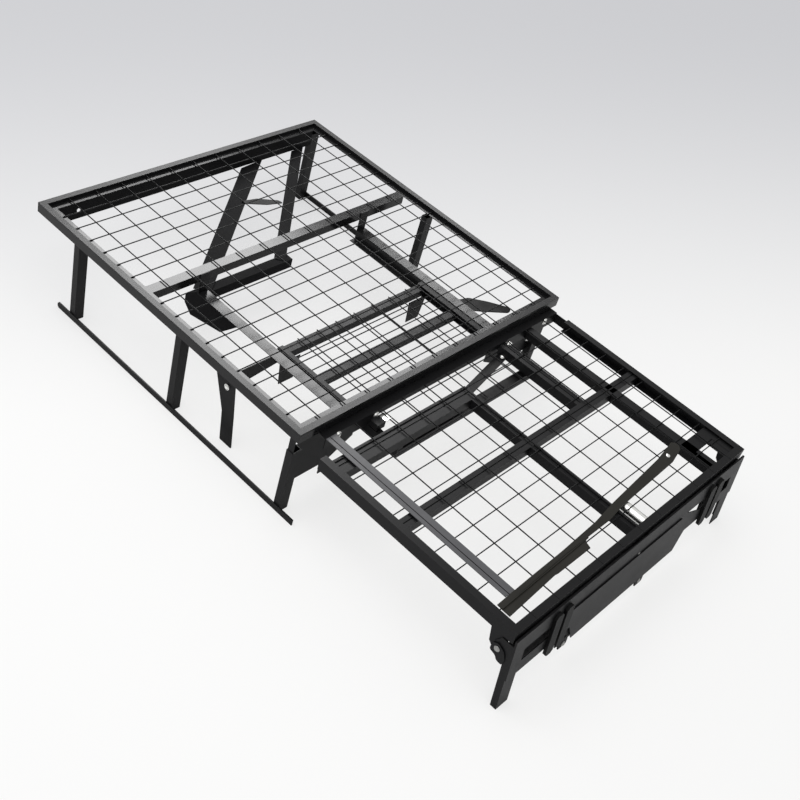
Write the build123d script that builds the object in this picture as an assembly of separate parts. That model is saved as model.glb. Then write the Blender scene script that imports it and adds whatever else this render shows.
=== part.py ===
from build123d import *
import math
import os

# Pull-out sofa bed frame in bent and welded steel, shown pulled out, in millimetres.
# X runs along the bed from the fixed rear end to the pull-out front end.
# Y runs across the bed, with the left side at -Y. Z is up, and the floor is at 0.
# The origin is on the floor, under the middle of the pulled-out bed.

# Overall sizes
BED_LENGTH = 2040.0
BED_WIDTH = 1200.0
MAIN_LENGTH = 1212.0
MAIN_HEIGHT = 325.0

# Main frame rails, rolled with a step that carries the wires
STEEL = 2.5
PLATE = 3.0
RAIL_DEPTH = 34.0
RAIL_TOP_WIDTH = 20.0
LEDGE_WIDTH = 22.0
LEDGE_DROP = 12.0
CROSSBAR_FROM_REAR = 484.0
CROSSBAR_WIDTH = 34.0
CROSSBAR_DEPTH = 30.0

# Welded wire meshes
WIRE = 4.0
CELLS_ACROSS = 12
CELLS_REAR = 7
CELLS_FRONT = 10
CELLS_PANEL = 10
CELLS_CARRIAGE = 8

# Legs and floor runners
LEG_ALONG = 25.0
LEG_ACROSS = 35.0
LEG_WALL = 2.0
REAR_LEG_FROM_REAR = 190.0
RIGHT_REAR_LEG_FROM_REAR = 14.0
RIGHT_MIDDLE_LEG_FROM_REAR = 612.0
FRONT_LEG_FROM_FRONT = 37.0
LEG_INSET = 2.0
RUNNER_HEIGHT = 22.0
RUNNER_THICK = 4.0
RUNNER_PAST_LEG = 60.0
RUNNER_BEVEL = 6.0
POST_LAP = 60.0

# Rear cross plate and the plates on the front legs
REAR_PLATE_DEPTH = 62.0
REAR_PLATE_HOLE = 16.0
GUSSET_LOW = 88.0
GUSSET_DEPTH = 60.0
GUSSET_LENGTH = 150.0

# Gap between the fixed frame and what slides past it, and under the carriage that runs on it
SLIDE_GAP = 5.5
RUNNING_GAP = 0.3

# Pull-out panel, one level below the main frame
PANEL_DEPTH = 40.0
PANEL_FLANGE = 24.0
PANEL_INSET = 17.0
PANEL_REAR_OVERHANG = 70.0
STRIP_DEPTH = 18.0
STRIP_DEEP_LEFT = -300.0
STRIP_DEEP_RIGHT = 290.0
BRACKET_SIDE = 34.0
CORNER_TAB = 18.0
REAR_BAR_FROM_FRAME = 90.0
REAR_BAR_WIDTH = 54.0
REAR_BAR_GROOVE = 6.0
PANEL_CROSSBAR_FROM_FRONT = 440.0
PANEL_CROSSBAR_WIDTH = 34.0
CROSSBAR_GROOVE = 4.0
CENTRE_BAR_WIDTH = 28.0
SHORT_BAR_SIDE = 285.0
SHORT_BAR_WIDTH = 36.0
DIAGONAL_WIDTH = 30.0
DIAGONAL_THICK = 6.0

# Carriage, the lower mesh frame that runs on the guide rails
CARRIAGE_DEPTH = 34.0
CARRIAGE_FLANGE = 22.0
CARRIAGE_REACH = 370.0
CARRIAGE_BAR = 30.0
CARRIAGE_BAR_PITCH = 150.0
CARRIAGE_WIRES = 7

# Guide rails, Z sections with a light top face
GUIDE_INSET = 263.0
GUIDE_TOP_WIDTH = 38.0
GUIDE_LIP = 24.0
HANGER_WIDTH = 85.0
HANGER_TAPER = 12.0
HANGER_LOW = 110.0

# Straps and brace on the panel
STRAP_WIDTH = 38.0
LEFT_STRAP_INSET = 85.0
RIGHT_STRAP_INSET = 185.0
STRAP_TO_BRACE = 10.0
BRACE_FROM_FRONT = 84.0
BRACE_BEND = 18.0
BRACE_SKEW = 72.0
BRACE_RIGHT_INSET = 250.0
BRACE_WIDTH = 40.0
BRACE_WEB = 45.0
BRACE_UP = 14.0
BRACE_WEB_LENGTH = 400.0
STAY_WIDTH = 16.0
STAY_LENGTH = 135.0
TUBE_RADIUS = 16.0
TUBE_WALL = 1.5
TUBE_LENGTH = 138.0

# Support arms under the rear bay
ARM_TOP_SIDES = (345.0, 535.0)
ARM_LOW_SIDES = (-290.0, 50.0)
ARM_WIDTHS = (58.0, 40.0)
ARM_TOP_DROP = 70.0
ARM_THICK = 5.0
LOW_BAR_FROM_REAR = 450.0
LOW_BAR_HEIGHT = 150.0
LOW_BAR_SIDE = 34.0
LOW_BAR_WALL = 2.0
LOW_BAR_RIGHT = 95.0
LINK_LENGTH = 210.0
LINK_DROP = 30.0

# Inner leg between the middle and front legs
INNER_LEG_FROM_REAR = 860.0
INNER_LEG_INSET = 52.0
INNER_LEG_WIDTH = 30.0
INNER_LEG_TAPER = 25.0

# Folding front legs
PIVOT_FROM_PANEL_FRONT = 30.0
PIVOT_DROP = 50.0
PIN_RADIUS = 4.0
PIN_LENGTH = 12.0
PIN_GAP = 0.08
FRONT_LEG_LEAN = 6.5
FRONT_LEG_TOP_WIDTH = 58.0
FRONT_LEG_FOOT_WIDTH = 20.0
FRONT_LEG_FLANGE = 50.0
FRONT_LEG_THICK = 3.0
BAND_TOP_DROP = 22.0
BAND_LOW = 116.0
WINDOW_HIGH = 205.0
WINDOW_LOW = 160.0
WINDOW_INNER = 375.0
APRON_LOW = 50.0
APRON_HALF = 268.0
APRON_SLOPE = 32.0
CLIP_SIDES = (-402.0, -354.0, 396.0, 444.0)
CLIP_WIDTH = 34.0
CLIP_DEPTH = 10.0
CLIP_LOW = 92.0
CLIP_TOP_DROP = 18.0

REAR = -BED_LENGTH / 2
HALF = BED_WIDTH / 2
MAIN_FRONT = REAR + MAIN_LENGTH
LEDGE_TOP = MAIN_HEIGHT - LEDGE_DROP
RAIL_BOTTOM = MAIN_HEIGHT - RAIL_DEPTH
RAIL_WIDTH = RAIL_TOP_WIDTH + LEDGE_WIDTH
PANEL_TOP = RAIL_BOTTOM - SLIDE_GAP
PANEL_BOTTOM = PANEL_TOP - PANEL_DEPTH
PANEL_HALF = HALF - PANEL_INSET
PANEL_WIRE_TOP = PANEL_TOP - STEEL
LEAN = math.tan(math.radians(FRONT_LEG_LEAN))
LEG_TOP = PANEL_BOTTOM - SLIDE_GAP
BAND_TOP = PANEL_TOP - BAND_TOP_DROP
LEG_FOOT_FACE = REAR + BED_LENGTH - PLATE
PANEL_FRONT = LEG_FOOT_FACE - BAND_TOP * LEAN - PLATE - SLIDE_GAP
CARRIAGE_TOP = PANEL_BOTTOM - SLIDE_GAP
CARRIAGE_BOTTOM = CARRIAGE_TOP - CARRIAGE_DEPTH
CARRIAGE_WIRE_TOP = CARRIAGE_TOP - STEEL
GUIDE_TOP = CARRIAGE_TOP
GUIDE_BOTTOM = CARRIAGE_BOTTOM - RUNNING_GAP - STEEL
GUIDE_WEB = HALF - GUIDE_INSET
CARRIAGE_HALF = GUIDE_WEB - SLIDE_GAP

os.makedirs("parts", exist_ok=True)


def block(x0, x1, y0, y1, z0, z1):
    """A box from its six face positions."""
    centre = Pos((x0 + x1) / 2, (y0 + y1) / 2, (z0 + z1) / 2)
    return centre * Box(x1 - x0, y1 - y0, z1 - z0)


def along_x(outline, x0, x1):
    """A section drawn in (y, z), extruded from x0 to x1."""
    plane = Plane(origin=(x0, 0, 0), x_dir=(0, 1, 0), z_dir=(1, 0, 0))
    return extrude(plane * make_face(Polyline(*outline, close=True)), amount=x1 - x0)


def along_y(outline, y0, y1):
    """A section drawn in (x, z), extruded from y0 to y1."""
    plane = Plane(origin=(0, y0, 0), x_dir=(1, 0, 0), z_dir=(0, -1, 0))
    return extrude(plane * make_face(Polyline(*outline, close=True)), amount=y0 - y1)


def upright(outline, z0, z1):
    """An outline drawn in (x, y), extruded from z0 to z1."""
    plane = Plane(origin=(0, 0, z0))
    return extrude(plane * make_face(Polyline(*outline, close=True)), amount=z1 - z0)


def flat_bar(start, end, width, thick, side):
    """A flat bar between two points, whose wide face looks along side."""
    start, end, side = Vector(*start), Vector(*end), Vector(*side)
    run = end - start
    plane = Plane(origin=start + run / 2, x_dir=run, z_dir=run.cross(side).cross(run))
    return plane * Box(run.length, width, thick)


def peg(x, y, z, radius, length):
    """A round bar across the bed, centred on a point."""
    return Pos(x, y, z) * Rot(90, 0, 0) * Cylinder(radius, length)


def across(shape):
    """The same piece on the other side of the bed."""
    return mirror(shape, about=Plane.XZ)


def save(shape, name):
    export_step(shape, f"parts/{name}.step")


# Main frame: four rails mitred at the corners
def stepped(edge, inward):
    """The rail's rolled section, from its outer edge inwards."""
    u = [0, RAIL_TOP_WIDTH, RAIL_WIDTH, RAIL_TOP_WIDTH - STEEL, STEEL]
    top, ledge = MAIN_HEIGHT, LEDGE_TOP
    points = [(u[0], top), (u[1], top), (u[1], ledge), (u[2], ledge), (u[2], ledge - STEEL),
              (u[3], ledge - STEEL), (u[3], top - STEEL), (u[4], top - STEEL),
              (u[4], RAIL_BOTTOM), (u[0], RAIL_BOTTOM)]
    return [(edge + inward * a, z) for a, z in points]


def mitre(x0, x1, y0, y1, width, sides):
    """A trapezium that cuts both ends of a rail at 45 degrees."""
    if sides == "left":
        corners = [(x0, y0), (x1, y0), (x1 - width, y0 + width), (x0 + width, y0 + width)]
    else:
        corners = [(x0, y0), (x0, y1), (x0 + width, y1 - width), (x0 + width, y0 + width)]
    return upright(corners, 0, MAIN_HEIGHT + RAIL_DEPTH)


main_middle = Plane.YZ.offset((REAR + MAIN_FRONT) / 2)
left_rail = along_x(stepped(-HALF, 1), REAR, MAIN_FRONT)
left_rail = left_rail & mitre(REAR, MAIN_FRONT, -HALF, HALF, RAIL_WIDTH, "left")
rear_rail = along_y(stepped(REAR, 1), -HALF, HALF)
rear_rail = rear_rail & mitre(REAR, MAIN_FRONT, -HALF, HALF, RAIL_WIDTH, "rear")
save(left_rail, "left_rail")
save(across(left_rail), "right_rail")
save(rear_rail, "rear_rail")
save(mirror(rear_rail, about=main_middle), "front_rail")

crossbar_x0 = REAR + CROSSBAR_FROM_REAR
crossbar_x1 = crossbar_x0 + CROSSBAR_WIDTH
crossbar_end = HALF - RAIL_WIDTH
crossbar = along_y(
    [(crossbar_x0, LEDGE_TOP), (crossbar_x1, LEDGE_TOP), (crossbar_x1, LEDGE_TOP - CROSSBAR_DEPTH),
     (crossbar_x1 - STEEL, LEDGE_TOP - CROSSBAR_DEPTH), (crossbar_x1 - STEEL, LEDGE_TOP - STEEL),
     (crossbar_x0, LEDGE_TOP - STEEL)],
    -crossbar_end, crossbar_end)
save(crossbar, "main_crossbar")


# Wire meshes: lengthwise and crosswise wires fused where they cross
def mesh(x0, x1, half, z_top, pitch_across, wires_across, wires_along):
    """Wires from x0 to x1, and across to both sides, with their tops at z_top."""
    sheet = None
    for i in range(wires_across):
        y = (i - (wires_across - 1) / 2) * pitch_across
        wire = Pos((x0 + x1) / 2, y) * Rectangle(x1 - x0, WIRE)
        sheet = wire if sheet is None else sheet + wire
    for i in range(wires_along):
        x = x0 + (x1 - x0) * (i + 1) / (wires_along + 1)
        sheet = sheet + Pos(x, 0) * Rectangle(WIRE, 2 * half)
    return extrude(Plane(origin=(0, 0, z_top - WIRE)) * sheet, amount=WIRE)


pitch = BED_WIDTH / round(CELLS_ACROSS)
wires = round(CELLS_ACROSS) - 1
wire_end = HALF - RAIL_TOP_WIDTH
main_wire_top = LEDGE_TOP + WIRE
bay_line = (crossbar_x0 + crossbar_x1) / 2
rear_mesh = mesh(REAR + RAIL_TOP_WIDTH, bay_line - 1, wire_end, main_wire_top, pitch, wires,
                 round(CELLS_REAR) - 1)
front_mesh = mesh(bay_line + 1, MAIN_FRONT - RAIL_TOP_WIDTH, wire_end, main_wire_top, pitch, wires,
                  round(CELLS_FRONT) - 1)
save(rear_mesh, "rear_mesh")
save(front_mesh, "front_mesh")


# Base: six tube legs on two floor runners
def leg(x0, top):
    """A rectangular tube leg on the left side."""
    y0 = -HALF + LEG_INSET
    outer = block(x0, x0 + LEG_ALONG, y0, y0 + LEG_ACROSS, 0, top)
    inner = block(x0 + LEG_WALL, x0 + LEG_ALONG - LEG_WALL, y0 + LEG_WALL,
                  y0 + LEG_ACROSS - LEG_WALL, -1, top + 1)
    return outer - inner


front_leg_top = PANEL_BOTTOM - SLIDE_GAP
rear_x0 = REAR + REAR_LEG_FROM_REAR
front_leg_x0 = MAIN_FRONT - FRONT_LEG_FROM_FRONT
mid_x0 = (rear_x0 + front_leg_x0) / 2
right_rear_x0 = REAR + RIGHT_REAR_LEG_FROM_REAR
right_mid_x0 = REAR + RIGHT_MIDDLE_LEG_FROM_REAR
for place, left_x0, right_x0, tall in (("rear", rear_x0, right_rear_x0, RAIL_BOTTOM),
                                       ("middle", mid_x0, right_mid_x0, RAIL_BOTTOM),
                                       ("front", front_leg_x0, front_leg_x0, front_leg_top)):
    save(leg(left_x0, tall), f"left_{place}_leg")
    save(across(leg(right_x0, tall)), f"right_{place}_leg")

runner_y1 = -HALF + LEG_INSET
runner_x1 = front_leg_x0 + LEG_ALONG + RUNNER_PAST_LEG


def runner(x0):
    """A flat floor runner on the left side, bevelled at its rear end."""
    return along_y(
        [(x0 + RUNNER_BEVEL, 0), (runner_x1, 0), (runner_x1, RUNNER_HEIGHT),
         (x0 + RUNNER_BEVEL, RUNNER_HEIGHT), (x0, RUNNER_HEIGHT - RUNNER_BEVEL), (x0, RUNNER_BEVEL)],
        runner_y1 - RUNNER_THICK, runner_y1)


save(runner(rear_x0 - RUNNER_PAST_LEG), "left_runner")
save(across(runner(right_rear_x0 - RUNNER_BEVEL)), "right_runner")

# Plates that carry the front of the main frame on the shorter front legs
post_y0 = -HALF + LEG_INSET + LEG_WALL
post = block(front_leg_x0 + LEG_WALL, front_leg_x0 + LEG_ALONG - LEG_WALL, post_y0, post_y0 + PLATE,
             front_leg_top - POST_LAP, RAIL_BOTTOM)
save(post + across(post), "front_posts")

# Rear cross plate under the rear rail's ledge, with one hole
plate_x0 = REAR + RAIL_WIDTH - STEEL - PLATE
rear_plate_top = LEDGE_TOP - STEEL
rear_plate_low = rear_plate_top - REAR_PLATE_DEPTH
rear_plate = block(plate_x0, plate_x0 + PLATE, -crossbar_end, crossbar_end, rear_plate_low, rear_plate_top)
hole = Pos(plate_x0, -crossbar_end + 2 * RAIL_WIDTH, (rear_plate_low + rear_plate_top) / 2) * Rot(0, 90, 0)
rear_plate = rear_plate - hole * Cylinder(REAR_PLATE_HOLE / 2, 4 * PLATE)
save(rear_plate, "rear_cross_plate")

# Gussets on the front legs that carry the guide rails
plate_end = HALF - LEG_INSET - LEG_ACROSS
gusset_x0 = front_leg_x0 + LEG_WALL
gusset = along_x(
    [(-plate_end, GUSSET_LOW), (-plate_end, front_leg_top),
     (-GUIDE_WEB - GUIDE_TOP_WIDTH, front_leg_top), (-GUIDE_WEB - STEEL, GUIDE_BOTTOM),
     (-GUIDE_WEB + GUIDE_LIP, GUIDE_BOTTOM), (-GUIDE_WEB + GUIDE_LIP, GUIDE_BOTTOM - GUSSET_DEPTH),
     (-plate_end + GUSSET_LENGTH, GUSSET_LOW)],
    gusset_x0, gusset_x0 + PLATE)
gusset = gusset - block(gusset_x0 - 1, gusset_x0 + PLATE + 1, -GUIDE_WEB - GUIDE_TOP_WIDTH, 0,
                        GUIDE_BOTTOM, GUIDE_TOP)
save(gusset + across(gusset), "front_gussets")

# Guide rails that the carriage runs in
guide_front = gusset_x0 + PLATE
guide_rear = crossbar_x1
guide = along_x(
    [(-GUIDE_WEB - GUIDE_TOP_WIDTH, GUIDE_TOP), (-GUIDE_WEB, GUIDE_TOP),
     (-GUIDE_WEB, GUIDE_BOTTOM + STEEL), (-GUIDE_WEB + GUIDE_LIP, GUIDE_BOTTOM + STEEL),
     (-GUIDE_WEB + GUIDE_LIP, GUIDE_BOTTOM), (-GUIDE_WEB - STEEL, GUIDE_BOTTOM),
     (-GUIDE_WEB - STEEL, GUIDE_TOP - STEEL), (-GUIDE_WEB - GUIDE_TOP_WIDTH, GUIDE_TOP - STEEL)],
    guide_rear, guide_front)
save(guide, "left_guide_rail")
save(across(guide), "right_guide_rail")

# Plates that hang the rear of the guide rails from the main crossbar
guide_plate = block(crossbar_x1, crossbar_x1 + PLATE, -GUIDE_WEB - GUIDE_TOP_WIDTH, -GUIDE_WEB, GUIDE_TOP,
                    LEDGE_TOP)
save(guide_plate + across(guide_plate), "guide_hangers")

# Hangers below the guide rails at the rear of the carriage
carriage_rear = MAIN_FRONT - CARRIAGE_REACH
hanger_y0 = -GUIDE_WEB
hanger_y1 = hanger_y0 + HANGER_WIDTH
hanger_top = GUIDE_BOTTOM - SLIDE_GAP
hanger = along_x(
    [(hanger_y0 + HANGER_TAPER, HANGER_LOW), (hanger_y0, hanger_top), (hanger_y0, GUIDE_BOTTOM),
     (hanger_y0 + GUIDE_LIP, GUIDE_BOTTOM), (hanger_y0 + GUIDE_LIP, hanger_top),
     (hanger_y1, hanger_top), (hanger_y1 - HANGER_TAPER, HANGER_LOW)],
    carriage_rear + CARRIAGE_BAR - PLATE, carriage_rear + CARRIAGE_BAR)
save(hanger + across(hanger), "hangers")

# Pull-out panel: angle rails at the sides and front
panel_rear = MAIN_FRONT + PANEL_REAR_OVERHANG
front_inner = PANEL_FRONT - PANEL_FLANGE
panel_left = along_x(
    [(-PANEL_HALF, PANEL_TOP), (-PANEL_HALF + PANEL_FLANGE, PANEL_TOP),
     (-PANEL_HALF + PANEL_FLANGE, PANEL_TOP - STEEL), (-PANEL_HALF + STEEL, PANEL_TOP - STEEL),
     (-PANEL_HALF + STEEL, PANEL_BOTTOM), (-PANEL_HALF, PANEL_BOTTOM)],
    panel_rear, PANEL_FRONT - STEEL)
panel_left = panel_left - block(front_inner, PANEL_FRONT, -PANEL_HALF + STEEL, 0, PANEL_TOP - STEEL, PANEL_TOP)
save(panel_left, "panel_left_rail")
save(across(panel_left), "panel_right_rail")
panel_front = along_y(
    [(PANEL_FRONT, PANEL_TOP), (front_inner, PANEL_TOP), (front_inner, PANEL_TOP - STEEL),
     (PANEL_FRONT - STEEL, PANEL_TOP - STEEL), (PANEL_FRONT - STEEL, PANEL_BOTTOM),
     (PANEL_FRONT, PANEL_BOTTOM)],
    -PANEL_HALF, PANEL_HALF)
corner_cut = block(front_inner, PANEL_FRONT - STEEL, -PANEL_HALF, -PANEL_HALF + STEEL, 0, MAIN_HEIGHT)
panel_front = panel_front - corner_cut - across(corner_cut)
save(panel_front, "panel_front_rail")

# Bolted strip under the main frame's front rail, deeper near both ends, with a bracket on the left
strip_x1 = MAIN_FRONT + PANEL_FLANGE
panel_wires_half = PANEL_HALF - STEEL
corner_y1 = panel_wires_half - PLATE
strip_y0 = -HALF + LEFT_STRAP_INSET
strip_z0 = PANEL_TOP - STRIP_DEPTH
strip = block(MAIN_FRONT - RAIL_TOP_WIDTH, strip_x1, strip_y0, corner_y1, PANEL_TOP - STEEL, PANEL_TOP)
strip = strip + along_x(
    [(strip_y0, PANEL_TOP), (strip_y0, PANEL_BOTTOM), (STRIP_DEEP_LEFT - STRIP_DEPTH, PANEL_BOTTOM),
     (STRIP_DEEP_LEFT, strip_z0), (STRIP_DEEP_RIGHT, strip_z0), (STRIP_DEEP_RIGHT + STRIP_DEPTH, PANEL_BOTTOM),
     (corner_y1, PANEL_BOTTOM), (corner_y1, PANEL_TOP)], strip_x1 - STEEL, strip_x1)
bracket_y0 = STRIP_DEEP_LEFT - BRACKET_SIDE
bracket = block(strip_x1, strip_x1 + BRACKET_SIDE, bracket_y0, STRIP_DEEP_LEFT, PANEL_BOTTOM, strip_z0)
bracket = bracket - block(strip_x1, strip_x1 + BRACKET_SIDE - PLATE, bracket_y0 + PLATE,
                          STRIP_DEEP_LEFT - PLATE, 0, strip_z0 - PLATE)
save(strip + bracket, "panel_rear_rail")
corner_x1 = panel_rear + PANEL_REAR_OVERHANG
right_corner = block(MAIN_FRONT, corner_x1, corner_y1, panel_wires_half, PANEL_BOTTOM, PANEL_WIRE_TOP - WIRE)
left_corner = block(panel_rear, panel_rear + PLATE, -panel_wires_half, -panel_wires_half + CORNER_TAB,
                    PANEL_BOTTOM - CORNER_TAB, PANEL_WIRE_TOP - WIRE)
save(left_corner + right_corner, "corner_plates")

panel_mesh = mesh(strip_x1, PANEL_FRONT - STEEL, panel_wires_half, PANEL_WIRE_TOP, pitch, wires,
                  round(CELLS_PANEL) - 1)
save(panel_mesh, "panel_mesh")

bar_top = PANEL_WIRE_TOP - WIRE
bar_bottom = PANEL_BOTTOM


def channel(x0, x1, y0, y1, groove):
    """An inverted channel under the wires, with a groove along the middle of its top."""
    bar = block(x0, x1, y0, y1, bar_bottom, bar_top)
    if x1 - x0 > y1 - y0:
        y = (y0 + y1) / 2
        bar = bar - block(x0 - 1, x1 + 1, y0 + STEEL, y1 - STEEL, bar_bottom - 1, bar_top - 2 * STEEL)
        return bar - block(x0 - 1, x1 + 1, y - groove / 2, y + groove / 2, bar_top - STEEL, bar_top + 1)
    x = (x0 + x1) / 2
    bar = bar - block(x0 + STEEL, x1 - STEEL, y0 - 1, y1 + 1, bar_bottom - 1, bar_top - 2 * STEEL)
    return bar - block(x - groove / 2, x + groove / 2, y0 - 1, y1 + 1, bar_top - STEEL, bar_top + 1)


# Crossbars of the panel: a wide rear bar on the left half, and the full crossbar
rb_x0 = MAIN_FRONT + REAR_BAR_FROM_FRAME
rb_x1 = rb_x0 + REAR_BAR_WIDTH
centre_y1 = CENTRE_BAR_WIDTH / 2
rear_bar = channel(rb_x0, rb_x1, -corner_y1, centre_y1, REAR_BAR_GROOVE)
save(rear_bar, "panel_rear_bar")
pc_x0 = PANEL_FRONT - PANEL_CROSSBAR_FROM_FRONT
pc_x1 = pc_x0 + PANEL_CROSSBAR_WIDTH
save(channel(pc_x0, pc_x1, -panel_wires_half, panel_wires_half, CROSSBAR_GROOVE), "panel_crossbar")

# Lengthwise bars: the centre bar in two lengths, and a short bar on the right
centre_rear = channel(rb_x1, pc_x0, -centre_y1, centre_y1, CROSSBAR_GROOVE)
centre_front = channel(pc_x1, PANEL_FRONT - STEEL, -centre_y1, centre_y1, CROSSBAR_GROOVE)
save(centre_rear + centre_front, "panel_centre_bar")
short_y0 = SHORT_BAR_SIDE - SHORT_BAR_WIDTH / 2
save(channel(strip_x1, pc_x0, short_y0, short_y0 + SHORT_BAR_WIDTH, CROSSBAR_GROOVE), "panel_short_bar")

# Flat arm that runs slantwise from the rear bar to the short bar
arm_x = rb_x1 - REAR_BAR_WIDTH / 4
diagonal = flat_bar((arm_x - DIAGONAL_WIDTH, centre_y1, bar_bottom + DIAGONAL_THICK / 2),
                    (strip_x1 + DIAGONAL_WIDTH / 2, short_y0 + SHORT_BAR_WIDTH, bar_bottom + DIAGONAL_THICK / 2),
                    DIAGONAL_WIDTH, DIAGONAL_THICK, (0, 0, 1))
diagonal = diagonal & block(strip_x1, pc_x0, centre_y1, short_y0, 0, MAIN_HEIGHT)
save(diagonal, "panel_diagonal_arm")

# Carriage under the panel and the front bay
carriage_front = rb_x1
carriage_rail = along_x(
    [(-CARRIAGE_HALF, CARRIAGE_TOP), (-CARRIAGE_HALF + CARRIAGE_FLANGE, CARRIAGE_TOP),
     (-CARRIAGE_HALF + CARRIAGE_FLANGE, CARRIAGE_TOP - STEEL),
     (-CARRIAGE_HALF + STEEL, CARRIAGE_TOP - STEEL), (-CARRIAGE_HALF + STEEL, CARRIAGE_BOTTOM),
     (-CARRIAGE_HALF, CARRIAGE_BOTTOM)],
    carriage_rear, carriage_front)
save(carriage_rail + across(carriage_rail), "carriage_rails")
carriage_inside = CARRIAGE_HALF - STEEL
carriage_bar_top = CARRIAGE_WIRE_TOP - WIRE
carriage_bars = None
for start in (carriage_rear, carriage_rear + CARRIAGE_BAR_PITCH, carriage_front - CARRIAGE_BAR):
    bar = block(start, start + CARRIAGE_BAR, -carriage_inside, carriage_inside, CARRIAGE_BOTTOM, carriage_bar_top)
    bar = bar - block(start + STEEL, start + CARRIAGE_BAR - STEEL, -HALF, HALF, CARRIAGE_BOTTOM - 1,
                      carriage_bar_top - STEEL)
    carriage_bars = bar if carriage_bars is None else carriage_bars + bar
save(carriage_bars, "carriage_bars")
carriage_mesh = mesh(carriage_rear, carriage_front, carriage_inside, CARRIAGE_WIRE_TOP,
                     2 * carriage_inside / (round(CARRIAGE_WIRES) + 1), round(CARRIAGE_WIRES),
                     round(CELLS_CARRIAGE) - 1)
save(carriage_mesh, "carriage_mesh")

# Spacers between the carriage rails and the panel bars above them
spacer_y1 = -CARRIAGE_HALF + CARRIAGE_FLANGE
spacer = block(rb_x0, rb_x1, -CARRIAGE_HALF, spacer_y1, CARRIAGE_TOP, bar_bottom)
strip_spacer = block(strip_x1 - STEEL, strip_x1, spacer_y1 - CARRIAGE_FLANGE, spacer_y1, CARRIAGE_TOP, bar_bottom)
save(spacer + strip_spacer + across(strip_spacer), "carriage_spacers")

# Straps: the left one lies flat on the wires, the right one stands on edge below them
brace_x = PANEL_FRONT - BRACE_FROM_FRONT
strap_y = -HALF + LEFT_STRAP_INSET + STRAP_WIDTH / 2
left_strap = block(strip_x1, brace_x - STRAP_TO_BRACE, strap_y - STRAP_WIDTH / 2, strap_y + STRAP_WIDTH / 2,
                   PANEL_WIRE_TOP, PANEL_TOP)
save(left_strap, "left_strap")
strap_y0 = HALF - RIGHT_STRAP_INSET
strap_rear = block(strip_x1, pc_x0, strap_y0, strap_y0 + PLATE, PANEL_BOTTOM, bar_top)
strap_front = block(pc_x1, PANEL_FRONT - STEEL, strap_y0, strap_y0 + PLATE, PANEL_BOTTOM, bar_top)
save(strap_rear + strap_front, "right_strap")

# Plate with a window between the right strap and the right rail
stay_y0, stay_y1 = strap_y0 + PLATE, panel_wires_half
stay_x1 = PANEL_FRONT - STEEL
stay_plate = block(stay_x1 - STAY_LENGTH, stay_x1, stay_y0, stay_y1, bar_top - STEEL, bar_top)
stay_gap = block(stay_x1 - STAY_LENGTH + 3 * STAY_WIDTH, stay_x1 - STAY_WIDTH, stay_y0 + STAY_WIDTH,
                 stay_y1 - 3 * STAY_WIDTH, 0, MAIN_HEIGHT)
save(stay_plate - stay_gap, "panel_stays")

# Short bright tube beside the centre bar, against the front rail
tube_y = centre_y1 + TUBE_RADIUS + STEEL
tube_z = bar_top - TUBE_RADIUS
tube_x1 = PANEL_FRONT - STEEL
bright = Pos(tube_x1 - TUBE_LENGTH / 2, tube_y, tube_z) * Rot(0, 90, 0) * Cylinder(TUBE_RADIUS, TUBE_LENGTH)
bore = Pos(tube_x1 - TUBE_LENGTH / 2, tube_y, tube_z) * Rot(0, 90, 0) * Cylinder(
    TUBE_RADIUS - TUBE_WALL, 2 * TUBE_LENGTH)
save(bright - bore, "bright_tube")

# Brace on the panel, bent at the centre bar: an angle with a deep web on the left, a flat bar on the right
brace_start = Vector(brace_x, -PANEL_HALF + PANEL_FLANGE, PANEL_TOP)
brace_bend = Vector(brace_x - BRACE_BEND, centre_y1, PANEL_TOP)
brace_end = Vector(brace_x - BRACE_SKEW, HALF - BRACE_RIGHT_INSET, PANEL_TOP)
brace_run = brace_bend - brace_start
length = brace_run.length
brace_plane = Plane(origin=brace_start, x_dir=brace_run, z_dir=(0, 0, 1))
brace_flange = Pos(length / 2 - PANEL_FLANGE / 2, BRACE_WIDTH / 4, STEEL / 2) * Box(
    length + PANEL_FLANGE, BRACE_WIDTH / 2, STEEL)
brace_lip = Pos(length / 2 - PANEL_FLANGE / 2, STEEL / 2, BRACE_UP / 2) * Box(
    length + PANEL_FLANGE, STEEL, BRACE_UP)
brace_web = Pos(BRACE_WEB_LENGTH / 2, STEEL / 2, BRACE_UP - BRACE_WEB / 2) * Box(
    BRACE_WEB_LENGTH, STEEL, BRACE_WEB)
right_run = brace_end - brace_bend
right_plane = Plane(origin=brace_bend, x_dir=right_run, z_dir=(0, 0, 1))
right_length = right_run.length
right_bar = Pos(right_length / 2, BRACE_WIDTH / 4, STEEL / 2) * Box(right_length, BRACE_WIDTH, STEEL)
bend_disc = Pos(0, BRACE_WIDTH / 4, STEEL / 2) * Cylinder(BRACE_WIDTH / 2, STEEL)
end_disc = Pos(right_length, BRACE_WIDTH / 4, STEEL / 2) * Cylinder(BRACE_WIDTH / 2, STEEL)
brace = brace_plane * (brace_flange + brace_lip + brace_web)
brace = brace + right_plane * (right_bar + bend_disc + end_disc) - panel_mesh
save(brace, "diagonal_brace")

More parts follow.
